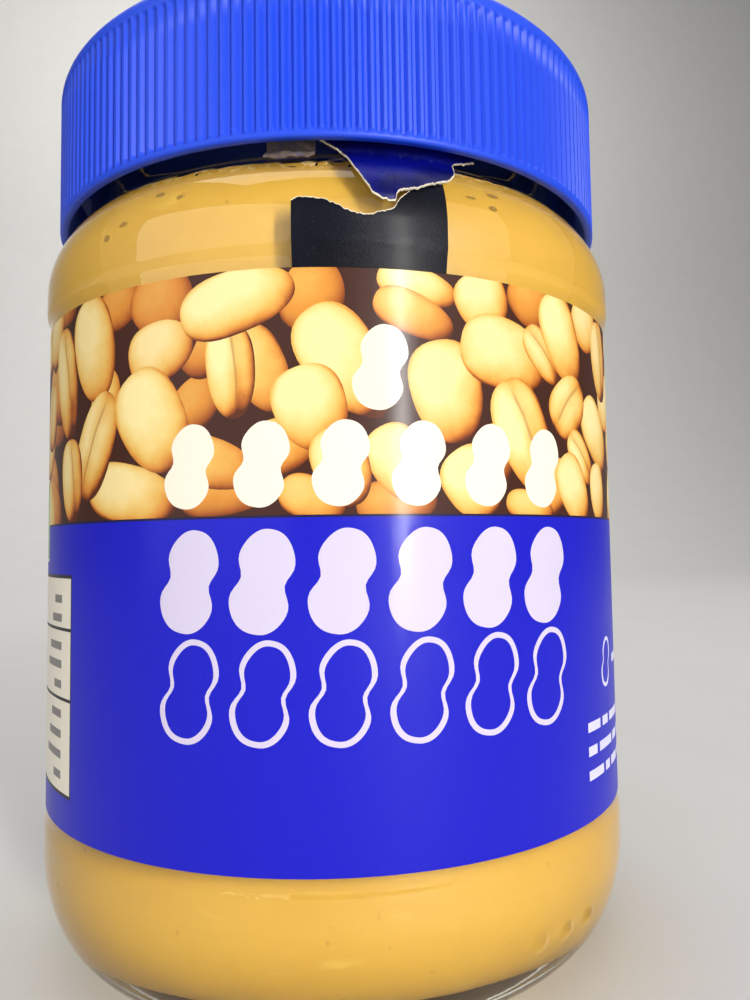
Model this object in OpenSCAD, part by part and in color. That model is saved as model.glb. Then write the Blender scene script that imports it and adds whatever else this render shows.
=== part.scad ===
// Glass jar of peanut butter with a ribbed plastic screw lid, a wrap-around paper label
// and a torn paper seal. Millimetres, +Z up, origin at the centre of the base's underside.
// The label's middle faces -Y. Azimuths are degrees round +Z, from -Y towards +X.

/* [Glass jar] */
// Widest diameter of the glass, at the shoulder
body_d = 75.6; // [72:0.2:95]
// Height of the glass, from the table to the sealing lip
jar_h = 106; // [85:1:135]
// Glass thickness at the shoulder
wall = 2.9; // [2:0.1:4]
// Glass thickness in the middle of the base
base_t = 3.4; // [3:0.1:7]
// How much lower the inside floor lies at its rounded edge than in the middle
floor_dip = 1.5; // [0:0.1:2]
// How far the label panel is sunk below the shoulder
panel_depth = 0.5; // [0.2:0.05:1]
// How far the heel's band is sunk below the shoulder
heel_band_depth = 0.25; // [0:0.05:0.4]
// Height of the rounded heel
heel_h = 12.4; // [8:0.2:16]
// How far the heel turns in before it meets the table
heel_w = 7.2; // [4:0.2:10]
// Width of the ring that stands on the table
foot_w = 1.6; // [1:0.1:3]
// Rise of the hollow under the base
punt_h = 2.3; // [1:0.1:4]
// Outer radius of the rounded shoulder, seen from the side
shoulder_r = 10; // [6:0.5:14]

/* [Neck] */
// Diameter of the neck without its thread
neck_d = 65.6; // [55:0.2:70]
// Height of the neck above the shoulder
neck_h = 18; // [14:0.5:24]
// Glass thickness of the neck
neck_wall = 2.3; // [1.6:0.1:3]
// How far the thread stands out of the neck
thread_h = 1.1; // [0.6:0.1:1.4]
// Height of one thread's bead
thread_w = 2; // [1.4:0.1:2.6]
// Number of short threads round the neck
thread_count = 6; // [4:1:8]
// Slope of each short thread, degrees
thread_slope = 3; // [1:0.5:5]

/* [Mould dots] */
// Number of small raised dots on the heel
dot_count = 3; // [1:1:6]
// Diameter of a dot
dot_d = 2.3; // [1.6:0.1:3]
// How far a dot stands out
dot_h = 0.4; // [0.2:0.05:0.6]
// Height of the dots above the table
dot_z = 8; // [6:0.5:10]
// Azimuth of the first dot
dot_az = 26; // [0:1:180]
// Azimuth from one dot to the next
dot_step = 6.5; // [5:0.5:12]

/* [Lid] */
// Radial room between the thread and the skirt
lid_gap = 0.4; // [0.2:0.05:0.8]
// Wall of the skirt at the foot of its ribs
lid_wall = 1.7; // [1.2:0.1:2.5]
// Thickness of the lid's top
lid_top_t = 1.7; // [1.2:0.1:2.5]
// How far the skirt's edge stays above the shoulder's upper edge
lid_drop_gap = 0; // [0:0.1:2]
// Number of grip ribs
rib_count = 180; // [90:10:200]
// Height of a rib above the skirt
rib_h = 0.42; // [0.2:0.02:0.6]
// Share of a rib's pitch that its top takes
rib_top_share = 0.34; // [0.2:0.02:0.5]
// Share of a rib's pitch that its foot takes
rib_foot_share = 0.7; // [0.55:0.05:0.9]
// Height of the plain bead along the skirt's edge
bead_h = 0.6; // [0.6:0.1:2.5]
// Thickness of the skirt at its edge
edge_t = 1; // [0.8:0.1:1.6]
// Height over which the inside of the skirt widens towards its edge
edge_lead_h = 3; // [1:0.5:5]
// Height of the plain band above the ribs, up to the top
crown_h = 3.3; // [2.5:0.1:6]
// Height of the crown's rounded edge
crown_round_h = 2.9; // [1.5:0.1:4]
// How far the crown's rounded edge reaches inwards
crown_round_w = 5; // [2:0.1:7]
// Depth of the round recess in the lid's top
top_recess = 0.4; // [0.2:0.05:0.8]
// Plain rim round that recess, outside the rounded edge
top_rim_w = 2; // [1:0.5:5]
// Height of the lugs that catch under the neck's thread
lug_h = 1.8; // [1.2:0.1:2.4]

/* [Peanut butter] */
// Room between the filling and the glass
fill_gap = 0.04; // [0.02:0.01:0.1]
// Free height between the filling and the sealing lip
head_room = 19.5; // [2:0.5:24]
// Rise of the filling's rounded top
fill_dome = 0.8; // [0.2:0.1:1.5]

/* [Label] */
// Thickness of the paper
label_t = 0.1; // [0.08:0.01:0.2]
// Bare glass between the heel and the label
label_low_gap = 5.1; // [3:0.1:8]
// Bare glass between the label and the shoulder's curve
label_high_gap = 4.8; // [3:0.1:8]
// Width of the label's overlap at the back
label_lap = 8; // [4:1:14]

/* [Seal] */
// Thickness of the seal's paper
seal_t = 0.15; // [0.1:0.01:0.25]
// Azimuth of the strip's left side
strip_az = -12.8; // [-30:0.2:0]
// Azimuth that the strip spans
strip_span = 23.4; // [15:0.2:40]
// Azimuth of the torn flap's left end
flap_az = -10.4; // [-30:0.2:0]
// Azimuth that the torn flap spans
flap_span = 26; // [15:0.2:40]
// Room between the torn flap and the glass
flap_gap = 0.2; // [0.2:0.05:0.8]
// Length of the flap that is tucked under the lid
flap_tuck = 3; // [1:0.5:5]

/* [Hidden] */
$fn = 96;
overlap = 0.01;

body_r = body_d / 2;
panel_r = body_r - panel_depth;
heel_r = body_r - heel_band_depth;
neck_r = neck_d / 2;
contact_r = heel_r - heel_w;

neck_z = jar_h - neck_h;
shoulder_in = body_r - neck_r;
shoulder_turn = acos(max(0, 1 - shoulder_in / shoulder_r));
shoulder_z = neck_z - shoulder_r * sin(shoulder_turn);

label_z0 = heel_h + label_low_gap;
label_z1 = shoulder_z - label_high_gap;
label_r = panel_r + label_t;
panel_margin = 1;
panel_ramp = 1.6;

inner_r = body_r - wall;
inner_neck_r = neck_r - neck_wall;
inner_shoulder_r = shoulder_r - wall;
floor_z = punt_h + base_t;
floor_round_w = heel_w - 0.2;
floor_round_h = heel_h - 4;
floor_edge_z = floor_z - floor_dip;

lid_in_r = neck_r + thread_h + lid_gap;
skirt_r = lid_in_r + lid_wall;
lid_r = skirt_r + rib_h;
lid_z0 = neck_z + lid_drop_gap;
lid_z1 = jar_h + lid_top_t;
rib_z0 = lid_z0 + bead_h;
rib_z1 = lid_z1 - crown_h;
thread_z = neck_z + 0.58 * neck_h;
thread_arc = 0.8 * 360 / thread_count;
lug_arc = 8;
lug_z = thread_z - thread_w / 2 - lug_h / 2 - 0.9;

// Torn edges, in mm above the start of the shoulder's curve, in even steps of azimuth
strip_tear = [1.7, 2.0, 1.8, 1.2, 0.6, 0.3, 0.6, 1.3, 2.8, 3.7, 4.3, 4.4];
flap_tear = [10.4, 9.8, 9.0, 6.3, 3.4, 1.9, 2.0, 3.0, 3.5, 4.1, 4.7, 6.1, 8.2];

// Points of a quarter ellipse from the side to the top, with half axes w and h
function quarter(cx, cz, w, h, from = 0, to = 90, steps = 10) =
    [for (i = [0:steps]) let (a = from + (to - from) * i / steps) [cx + w * cos(a), cz + h * sin(a)]];

// Outer radius of the glass at height z, from the panel to the neck
function shoulder_at(z) =
    body_r - shoulder_r + sqrt(max(0, pow(shoulder_r, 2) - pow(z - shoulder_z, 2)));
function ramp_at(z) =
    panel_r + panel_depth * min(1, max(0, (z - label_z1 - panel_margin) / panel_ramp));
function glass_r(z) = z < shoulder_z ? ramp_at(z) : z < neck_z ? shoulder_at(z) : neck_r;

// A slice of a thin sheet of revolution between two azimuths
module sector(az, span) {
    rotate([0, 0, az - 90]) rotate_extrude(angle = span) children();
}

// The glass from the inside of the foot ring, up the outside to the lip
function outer_profile() = concat(
    [[0, punt_h], [0.6 * contact_r, punt_h], [contact_r - foot_w - 4, 0.6 * punt_h]],
    [[contact_r - foot_w, 0], [contact_r, 0]],
    [for (p = quarter(contact_r, heel_h, heel_w, -heel_h, 84, 0, 12)) p],
    [
        [heel_r, label_z0 - panel_margin - panel_ramp / 2],
        [panel_r, label_z0 - panel_margin],
        [panel_r, label_z1 + panel_margin],
        [body_r, label_z1 + panel_margin + panel_ramp]
    ],
    quarter(body_r - shoulder_r, shoulder_z, shoulder_r, shoulder_r, 0, shoulder_turn, 10),
    [[neck_r, neck_z], [neck_r, jar_h - 1]],
    quarter(neck_r - 0.8, jar_h - 1, 0.8, 1, 15, 90, 4),
    [[0, jar_h]]
);

// The cavity, grown by a clearance, up to a given height
function cavity_profile(shrink, top) = concat(
    [[0, floor_z + shrink], [0.5 * contact_r, floor_z + shrink]],
    quarter(inner_r - floor_round_w, floor_edge_z + floor_round_h, floor_round_w - shrink,
            -floor_round_h + shrink, 90, 0, 10),
    quarter(body_r - shoulder_r, shoulder_z, inner_shoulder_r - shrink,
            inner_shoulder_r - shrink, 0, shoulder_turn, 8),
    [[inner_neck_r - shrink, neck_z - 0.4 * wall], [inner_neck_r - shrink, top]]
);

// Short sloping threads round the neck, which the lid's lugs catch under
module neck_threads() {
    profile = [
        [neck_r - thread_h, -0.7 * thread_w],
        [neck_r + thread_h, -0.2 * thread_w],
        [neck_r + thread_h, 0.2 * thread_w],
        [neck_r - thread_h, 0.7 * thread_w]
    ];
    for (i = [0:thread_count - 1])
        rotate([0, 0, i * 360 / thread_count])
            translate([0, 0, thread_z])
                rotate([thread_slope, 0, 0])
                    rotate([0, 0, -thread_arc / 2])
                        rotate_extrude(angle = thread_arc)
                            polygon(profile);
}

// Small raised dots that the mould leaves on the heel
module mould_dots() {
    ball_r = (pow(dot_d / 2, 2) + pow(dot_h, 2)) / (2 * dot_h);
    drop = (heel_h - dot_z) / heel_h;
    heel_at = contact_r + heel_w * sqrt(1 - drop * drop);
    for (i = [0:dot_count - 1])
        rotate([0, 0, dot_az + i * dot_step - 90])
            translate([heel_at + dot_h - ball_r, 0, dot_z])
                sphere(r = ball_r);
}

module jar() {
    color([0.78, 0.86, 0.84, 0.45])
        difference() {
            union() {
                rotate_extrude() polygon(outer_profile());
                neck_threads();
                mould_dots();
            }
            rotate_extrude() polygon(concat(
                cavity_profile(0, jar_h + 1),
                [[0, jar_h + 1]]
            ));
        }
}

// Outline of the ribbed skirt: each rib is a trapezium on the skirt's surface
function rib_outline() = [
    for (i = [0:rib_count - 1])
        for (corner = [[-rib_foot_share, 0], [-rib_top_share, rib_h], [rib_top_share, rib_h], [rib_foot_share, 0]])
            let (a = (i + corner[0] / 2) * 360 / rib_count, r = skirt_r - overlap + corner[1])
                [r * cos(a), r * sin(a)]
];

function lid_shell_profile() = concat(
    [[lid_in_r, lid_z0 + edge_lead_h], [lid_r - edge_t, lid_z0]],
    [[lid_r - 0.3, lid_z0], [lid_r, lid_z0 + 0.3], [lid_r, rib_z0 - 0.15], [skirt_r, rib_z0 + 0.1]],
    [[skirt_r, rib_z1], [lid_r, rib_z1 + rib_h]],
    quarter(lid_r - crown_round_w, lid_z1 - crown_round_h, crown_round_w, crown_round_h, 0, 90, 9),
    [
        [lid_r - crown_round_w - top_rim_w, lid_z1],
        [lid_r - crown_round_w - top_rim_w - 0.6, lid_z1 - top_recess],
        [0, lid_z1 - top_recess],
        [0, jar_h],
        [lid_in_r, jar_h]
    ]
);

// Lugs inside the skirt, one under each of the neck's threads
module lid_lugs() {
    profile = [
        [neck_r + lid_gap / 2, -lug_h / 4],
        [neck_r + lid_gap / 2, lug_h / 4],
        [lid_in_r + 0.3, lug_h / 2],
        [lid_in_r + 0.3, -lug_h / 2]
    ];
    for (i = [0:thread_count - 1])
        rotate([0, 0, i * 360 / thread_count - lug_arc / 2])
            translate([0, 0, lug_z])
                rotate_extrude(angle = lug_arc)
                    polygon(profile);
}

module lid() {
    color([0.11, 0.26, 0.9]) {
        rotate_extrude() polygon(lid_shell_profile());
        translate([0, 0, rib_z0 - 0.2])
            linear_extrude(height = rib_z1 + 0.2 - (rib_z0 - 0.2))
                difference() {
                    polygon(rib_outline());
                    circle(r = skirt_r - lid_wall / 2);
                }
        lid_lugs();
    }
}

// The filling: it takes the cavity's form up to its level and ends in a low dome
module peanut_butter() {
    fill_z = jar_h - head_room;
    edge_z = fill_z - fill_dome;
    color([0.78, 0.6, 0.29])
        intersection() {
            rotate_extrude() polygon(concat(
                cavity_profile(fill_gap, jar_h - 1),
                [[0, jar_h - 1]]
            ));
            rotate_extrude() polygon(concat(
                [[0, 0], [body_r, 0], [body_r, edge_z]],
                quarter(0, edge_z, inner_r, fill_dome, 10, 90, 6)
            ));
        }
}

// The paper label goes once round the jar and overlaps itself at the back
module label() {
    lap_span = label_lap / label_r * 180 / PI;
    color([0.12, 0.12, 0.7]) {
        rotate_extrude() translate([panel_r, label_z0]) square([label_t, label_z1 - label_z0]);
        sector(180 - lap_span / 2, lap_span)
            translate([label_r - overlap, label_z0])
                square([label_t + overlap, label_z1 - label_z0]);
    }
}

// Cuts a sheet to an outline drawn on the front: x is along the table, y is the height
module cut_from_front(outline) {
    intersection() {
        children();
        rotate([90, 0, 0]) linear_extrude(height = body_r + lid_r) polygon(outline);
    }
}

// Points of a torn edge: heights above the shoulder's start, in even steps of azimuth
function torn_edge(az, span, heights) = [
    for (i = [0:len(heights) - 1])
        [body_r * sin(az + span * i / (len(heights) - 1)), shoulder_z + heights[i]]
];

// A thin sheet of revolution with a given inner radius at each height
module sheet(az, span, radius_at, z0, z1, t, steps) {
    rise = (z1 - z0) / steps;
    sector(az, span)
        polygon(concat(
            [for (k = [0:steps]) [radius_at(z0 + k * rise), z0 + k * rise]],
            [for (k = [steps:-1:0]) [radius_at(z0 + k * rise) + t, z0 + k * rise]]
        ));
}

// Lower part of the torn seal: paper that stays stuck to the glass above the label
module seal_strip() {
    edge = torn_edge(strip_az, strip_span, strip_tear);
    last = len(edge) - 1;
    color([0.07, 0.08, 0.16])
        cut_from_front(concat([[edge[last][0], label_z1 - 1], [edge[0][0], label_z1 - 1]], edge))
            sheet(strip_az - 3, strip_span + 6, function(z) glass_r(z),
                  label_z1, shoulder_z + max(strip_tear) + 1, seal_t, 12);
}

// Upper part of the torn seal: it clears the shoulder, then is tucked up inside the skirt
module seal_flap() {
    edge = torn_edge(flap_az, flap_span, flap_tear);
    last = len(edge) - 1;
    top = lid_z0 + flap_tuck;
    color([0.06, 0.1, 0.6])
        cut_from_front(concat([[edge[last][0], top + 1], [edge[0][0], top + 1]], edge))
            sheet(flap_az - 3, flap_span + 6,
                  function(z) max(lid_in_r - seal_t, glass_r(z) + flap_gap),
                  shoulder_z + min(flap_tear) - 1, top, seal_t, 20);
}

jar();
lid();
peanut_butter();
label();
seal_strip();
seal_flap();
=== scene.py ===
import math

import bmesh
import bpy
from mathutils import Matrix, Vector, noise
from mathutils.geometry import delaunay_2d_cdt


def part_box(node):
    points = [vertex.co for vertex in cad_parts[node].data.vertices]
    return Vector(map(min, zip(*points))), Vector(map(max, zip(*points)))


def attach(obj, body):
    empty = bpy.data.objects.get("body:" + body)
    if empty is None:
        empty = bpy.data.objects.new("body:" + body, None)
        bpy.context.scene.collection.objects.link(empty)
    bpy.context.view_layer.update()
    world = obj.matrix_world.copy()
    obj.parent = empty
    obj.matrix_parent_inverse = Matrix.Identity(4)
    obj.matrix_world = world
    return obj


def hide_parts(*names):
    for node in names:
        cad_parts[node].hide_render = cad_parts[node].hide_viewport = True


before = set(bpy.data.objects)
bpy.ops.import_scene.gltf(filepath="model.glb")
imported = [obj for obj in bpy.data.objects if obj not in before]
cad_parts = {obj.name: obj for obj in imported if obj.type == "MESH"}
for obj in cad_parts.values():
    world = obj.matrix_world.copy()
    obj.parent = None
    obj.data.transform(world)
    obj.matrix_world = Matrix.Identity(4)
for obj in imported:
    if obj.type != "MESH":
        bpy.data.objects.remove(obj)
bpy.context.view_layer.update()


# ----------------------------------------------------------------------------------------
# Glass jar. Clear glass blown in a mould, with a thick base that is hollow underneath, a
# rounded heel with three mould dots, a panel sunk for the label, and a neck with six short
# sloping threads for the lid.

MM = 0.001  # sizes are written in millimetres, and Blender's are in metres
glass_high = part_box("jar")[1]
BODY_R = glass_high.x / MM
LIP_Z = glass_high.z / MM
GLASS_SIDES = 288
HEEL_R = BODY_R - 0.25
HEEL_W = 7.2
HEEL_H = 12.4
FOOT_R = HEEL_R - HEEL_W
FOOT_W = 1.6
PUNT_H = 2.3
PANEL_R = BODY_R - 0.5
PANEL_Z0 = 16.5
PANEL_Z1 = 75.54
PANEL_RAMP = 1.6
SHOULDER_R = 10
SHOULDER_Z = 79.34
NECK_R = 32.8
NECK_Z = 88
NECK_INNER_R = NECK_R - 2.3
WALL = 2.9
FLOOR_Z = 5.7
FLOOR_EDGE_Z = 4.2
FLOOR_ROUND_W = 7.0
FLOOR_ROUND_H = 8.4
POLE_R = 0.4
THREADS = 6
THREAD_Z = 98.44
THREAD_SLOPE = 0.052
THREAD_STEPS = ((1.3, 0.45), (0.65, 0.62))
THREAD_SHARE = 0.8
DOT_AZIMUTHS = (26, 32.5, 39)
DOT_Z = 8
DOT_R = 1.35
DOT_H = 0.4
DOT_REFINED = (1.9, 1.5)
DOT_PEAK = 0.16
DOT_AIM_Z = -12


def turned_piece(name, profile, sides):
    """A round piece: a ring of edges is extruded along a profile of (radius, height) points,
    which starts and ends close to the axis, and both ends are closed."""
    bpy.ops.object.select_all(action="DESELECT")
    radius, height = profile[0]
    bpy.ops.mesh.primitive_circle_add(vertices=sides, radius=radius * MM, location=(0, 0, 0))
    piece = bpy.context.object
    piece.name = name
    piece.data.name = name
    bpy.ops.object.mode_set(mode="EDIT")
    bpy.ops.mesh.select_all(action="SELECT")
    bpy.ops.transform.translate(value=(0, 0, height * MM))
    for next_radius, next_height in profile[1:]:
        rise = (0, 0, (next_height - height) * MM)
        bpy.ops.mesh.extrude_edges_move(TRANSFORM_OT_translate={"value": rise})
        scale = next_radius / radius
        centre = (0, 0, next_height * MM)
        bpy.ops.transform.resize(value=(scale, scale, 1), center_override=centre)
        radius, height = next_radius, next_height
    bpy.ops.mesh.merge(type="CENTER")
    start_radius, start_height = profile[0]
    choose(piece, lambda place: abs(place.z - start_height * MM) < 1e-6
           and place.xy.length < 1.01 * start_radius * MM)
    bpy.ops.mesh.merge(type="CENTER")
    bpy.ops.mesh.select_all(action="SELECT")
    bpy.ops.mesh.normals_make_consistent(inside=False)
    return piece


def choose(piece, wanted):
    """In edit mode, selects the vertices whose place is wanted, and nothing else."""
    bpy.ops.mesh.select_mode(type="VERT")
    bpy.ops.mesh.select_all(action="DESELECT")
    mesh = bmesh.from_edit_mesh(piece.data)
    for vertex in mesh.verts:
        vertex.select = wanted(vertex.co)
    mesh.select_flush(True)
    bmesh.update_edit_mesh(piece.data)


def finish_piece(piece, material, angle):
    """Leaves edit mode, smooths every edge flatter than the angle and lays on the material."""
    bpy.ops.object.mode_set(mode="OBJECT")
    bpy.ops.object.shade_smooth_by_angle(angle=math.radians(angle))
    piece.data.materials.clear()
    piece.data.materials.append(material)


def quarter(centre_r, centre_z, width, height, start, end, steps):
    """Points of a quarter ellipse, from the side at 0 degrees to the top at 90."""
    angles = [math.radians(start + (end - start) * i / steps) for i in range(steps + 1)]
    return [(centre_r + width * math.cos(a), centre_z + height * math.sin(a)) for a in angles]


def spread(low, high, steps, radius):
    """Points up a straight wall, both ends left out."""
    return [(radius, low + (high - low) * i / steps) for i in range(1, steps)]


def azimuth(place):
    """Degrees round +Z, from the label's middle at -Y towards +X."""
    return math.degrees(math.atan2(place.x, -place.y))


def spot(degrees, radius, height):
    """The place at an azimuth, radius and height in millimetres."""
    turn = math.radians(degrees)
    return Vector((radius * math.sin(turn), -radius * math.cos(turn), height)) * MM


def ink(red, green, blue):
    """A colour of 0-255 display values as the linear numbers that a shader takes."""
    shares = [part / 255 for part in (red, green, blue)]
    return tuple(s / 12.92 if s < 0.04045 else ((s + 0.055) / 1.055) ** 2.4 for s in shares)


class Signal:
    """A socket of a finish. Arithmetic on it adds Math nodes."""

    def __init__(self, finish, socket):
        self.finish = finish
        self.socket = socket

    def math(self, operation, first, second):
        return self.finish.node("Math", {"operation": operation}, {0: first, 1: second})

    def __add__(self, other):
        return self.math("ADD", self, other)

    def __radd__(self, other):
        return self.math("ADD", other, self)

    def __sub__(self, other):
        return self.math("SUBTRACT", self, other)

    def __rsub__(self, other):
        return self.math("SUBTRACT", other, self)

    def __mul__(self, other):
        return self.math("MULTIPLY", self, other)

    def __rmul__(self, other):
        return self.math("MULTIPLY", other, self)

    def __pow__(self, other):
        return self.math("POWER", self, other)

    def __abs__(self):
        return self.math("ABSOLUTE", self, 0)


class Finish:
    """A material: its Principled shader takes the constants, and signals vary the rest."""

    def __init__(self, name, constants):
        self.material = bpy.data.materials.new(name)
        self.material.use_nodes = True
        self.tree = self.material.node_tree
        self.shader = self.tree.nodes["Principled BSDF"]
        for socket, value in constants.items():
            self.join(self.shader.inputs[socket], value)

    def join(self, socket, value):
        if isinstance(value, Signal):
            self.tree.links.new(value.socket, socket)
        elif isinstance(value, tuple) and socket.type == "RGBA":
            socket.default_value = (*value, 1)
        else:
            socket.default_value = value

    def node(self, kind, settings=None, sockets=None, output=0):
        node = self.tree.nodes.new("ShaderNode" + kind)
        for name, value in (settings or {}).items():
            if name == "stops":
                ramp = node.color_ramp.elements
                while len(ramp) < len(value):
                    ramp.new(1)
                for element, (place, colour) in zip(ramp, value):
                    element.position = place
                    element.color = (*colour, 1)
            else:
                setattr(node, name, value)
        for name, value in (sockets or {}).items():
            self.join(node.inputs[name], value)
        return Signal(self, node.outputs[output])

    def blend(self, factor, first, second, mode="MIX"):
        settings = {"data_type": "RGBA", "blend_type": mode}
        return self.node("Mix", settings, {0: factor, 6: first, 7: second}, 2)

    def step(self, signal, low, high):
        """0 below low, 1 above high and smooth between them."""
        sockets = {"Value": signal, "From Min": low, "From Max": high}
        return self.node("MapRange", {"interpolation_type": "SMOOTHSTEP"}, sockets)

    def place(self):
        return self.node("TexCoord", output="Object")

    def stretched(self, scale):
        return self.node("Mapping", {}, {"Vector": self.place(), "Scale": scale})

    def noise(self, vector, scale, detail=2.0, roughness=0.5):
        sockets = {"Vector": vector, "Scale": scale, "Detail": detail, "Roughness": roughness}
        return self.node("TexNoise", {}, sockets)

    def bump(self, height, distance, strength=1.0):
        """The height is in shares of a distance in millimetres."""
        sockets = {"Height": height, "Distance": distance * MM, "Strength": strength}
        self.join(self.shader.inputs["Normal"], self.node("Bump", {}, sockets))

    def vary(self, socket, signal):
        self.join(self.shader.inputs[socket], signal)


# The profile's parts as (radius, height) points: up the outside, over the lip, down the inside
hollow_under_base = [(POLE_R, PUNT_H), (9, PUNT_H), (18.2, PUNT_H), (21.8, 1.95), (24.8, 1.3),
                     (27.2, 0.6), (FOOT_R - FOOT_W - 0.3, 0.12)]
foot_ring = [(FOOT_R - FOOT_W, 0), (FOOT_R - FOOT_W / 2, 0)]
heel_step = [(HEEL_R, 14.2), (HEEL_R - 0.02, 15.2), (HEEL_R - 0.08, 15.7),
             (PANEL_R + 0.05, 16.1), (PANEL_R, PANEL_Z0)]
label_panel = [(PANEL_R, 17.4)] + spread(17.4, PANEL_Z1, 6, PANEL_R) + [(PANEL_R, PANEL_Z1)]
shoulder_step = [(PANEL_R + 0.06, PANEL_Z1 + 0.4), (BODY_R - 0.25, PANEL_Z1 + 0.8),
                 (BODY_R - 0.06, PANEL_Z1 + 1.2), (BODY_R, PANEL_Z1 + PANEL_RAMP)]
neck_outside = [(NECK_R + 0.06, NECK_Z - 0.02), (NECK_R, NECK_Z + 0.3)]
neck_outside += spread(NECK_Z + 0.3, LIP_Z - 1, 36, NECK_R)
lip = quarter(NECK_R - 0.8, LIP_Z - 1, 0.8, 1, 0, 90, 5)
lip += quarter(NECK_INNER_R + 0.6, LIP_Z - 0.6, -0.6, 0.6, 90, 0, 4)
inside_wall = [(BODY_R - WALL, height) for height in (62, 40, 20)]
inside_floor = [(24, 4.72), (20, 5.25), (16.5, 5.62), (13, FLOOR_Z), (7, FLOOR_Z),
                (POLE_R, FLOOR_Z)]
glass_profile = (
    hollow_under_base + foot_ring
    + quarter(FOOT_R, HEEL_H, HEEL_W, -HEEL_H, 89.9, 0, 34)
    + heel_step + label_panel + shoulder_step
    + quarter(BODY_R - SHOULDER_R, SHOULDER_Z, SHOULDER_R, SHOULDER_R, 0, 58, 20)
    + neck_outside + lip
    + [(NECK_INNER_R, height) for height in (100, 94, 89, 86.8)]
    + quarter(BODY_R - SHOULDER_R, SHOULDER_Z, SHOULDER_R - WALL, SHOULDER_R - WALL, 62, 0, 12)
    + inside_wall
    + quarter(BODY_R - WALL - FLOOR_ROUND_W, FLOOR_EDGE_Z + FLOOR_ROUND_H,
              FLOOR_ROUND_W, -FLOOR_ROUND_H, 0, 88, 18)
    + inside_floor
)
glass = turned_piece("glass_jar", glass_profile, GLASS_SIDES)


def thread_height(place):
    """How far a place on the neck is above the middle of its nearest short thread."""
    pitch = 360 / THREADS
    along = (azimuth(place) + 360) % pitch - pitch / 2
    if abs(along) > THREAD_SHARE * pitch / 2:
        return math.inf
    return place.z / MM - THREAD_Z - THREAD_SLOPE * NECK_R * math.radians(along)


for reach, lift in THREAD_STEPS:
    choose(glass, lambda place: abs(place.xy.length / MM - NECK_R) < 0.6
           and abs(thread_height(place)) < reach)
    scale = (NECK_R + lift) / NECK_R
    bpy.ops.transform.resize(value=(scale, scale, 1), center_override=(0, 0, 0))

for degrees in DOT_AZIMUTHS:
    drop = (HEEL_H - DOT_Z) / HEEL_H
    middle = spot(degrees, FOOT_R + HEEL_W * math.sqrt(1 - drop * drop), DOT_Z)
    for reach in DOT_REFINED:
        choose(glass, lambda place: (place - middle).length < reach * MM)
        bpy.ops.mesh.subdivide(number_cuts=1)
    choose(glass, lambda place: (place - middle).length < DOT_PEAK * MM)
    outward = Vector((middle.x, middle.y, DOT_AIM_Z * MM)).normalized() * DOT_H * MM
    bpy.ops.transform.translate(
        value=outward, use_proportional_edit=True, use_proportional_connected=True,
        proportional_edit_falloff="SMOOTH", proportional_size=DOT_R * MM)

clear_glass = Finish("clear_glass", {
    "Base Color": (0.955, 0.985, 0.965),
    "Roughness": 0.015,
    "IOR": 1.5,
    "Transmission Weight": 1.0,
})
waves = clear_glass.noise(clear_glass.stretched((1, 1, 0.45)), 95, 2)
orange_peel = clear_glass.noise(clear_glass.place(), 900, 2)
clear_glass.bump(waves + orange_peel * 0.06, 0.22, 0.5)
shadow = clear_glass.node("LightPath", output="Is Shadow Ray")
clear = clear_glass.node("BsdfTransparent", {}, {"Color": (0.93, 0.97, 0.95)})
principled = Signal(clear_glass, clear_glass.shader.outputs[0])
mixed = clear_glass.node("MixShader", {}, {0: shadow, 1: principled, 2: clear})
clear_glass.join(clear_glass.tree.nodes["Material Output"].inputs["Surface"], mixed)
finish_piece(glass, clear_glass.material, 35)
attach(glass, "root")
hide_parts("jar")


# ----------------------------------------------------------------------------------------
# Peanut butter. Smooth ground peanuts, filled warm, so it wets the whole glass, with faint
# lighter smears, fine dark specks, painted glints at its top edge and a few trapped air
# pockets at the shoulder, dented in and darkened with painted shade. It reaches just into the
# glass wall, so that no air shows between them.

BUTTER_SIDES = 192
BUTTER_TOP = 86.5
BUTTER_EDGE = 85.7
INTO_GLASS = 0.06
# radius, and how far the settled top surface lies below its highest point there
BUTTER_SURFACE = ((28.5, 0.55), (26, 0.3), (23, 0.42), (20, 0.2), (17, 0.34), (14, 0.1),
                  (11, 0.22), (8, 0.04), (5, 0.12), (2.5, 0), (POLE_R, 0))
# azimuth, height, width and tallness of each air pocket against the glass
POCKETS = ((22.6, 85.4, 1.5, 0.45), (17.5, 84.7, 1.3, 0.35), (21.6, 84.0, 1.2, 0.6),
           (-37.5, 85.3, 1.3, 0.5), (-44.5, 83.2, 1.4, 0.5), (-48.5, 82.4, 1.0, 0.7),
           (-33.0, 84.6, 0.7, 0.4), (118, 84.6, 1.4, 0.6), (-141, 85.1, 1.6, 0.6),
           (165, 83.2, 1.0, 0.5))

inner_r = BODY_R - WALL + INTO_GLASS
inner_shoulder = SHOULDER_R - WALL + INTO_GLASS
level_turn = math.degrees(math.asin((BUTTER_EDGE - SHOULDER_Z) / inner_shoulder))
level_r = BODY_R - SHOULDER_R + inner_shoulder * math.cos(math.radians(level_turn))
butter_profile = (
    [(radius, height - INTO_GLASS) for radius, height in reversed(inside_floor)]
    + quarter(BODY_R - WALL - FLOOR_ROUND_W, FLOOR_EDGE_Z + FLOOR_ROUND_H,
              FLOOR_ROUND_W + INTO_GLASS, -FLOOR_ROUND_H - INTO_GLASS, 88, 0, 22)
    + spread(FLOOR_EDGE_Z + FLOOR_ROUND_H, SHOULDER_Z, 12, inner_r)
    + quarter(BODY_R - SHOULDER_R, SHOULDER_Z, inner_shoulder, inner_shoulder, 0, level_turn, 18)
    + [(level_r - 0.25, BUTTER_EDGE + 0.12), (level_r - 0.7, BUTTER_EDGE + 0.02)]
    + [(radius, BUTTER_TOP - drop) for radius, drop in BUTTER_SURFACE]
)
butter = turned_piece("peanut_butter_fill", butter_profile, BUTTER_SIDES)
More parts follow.
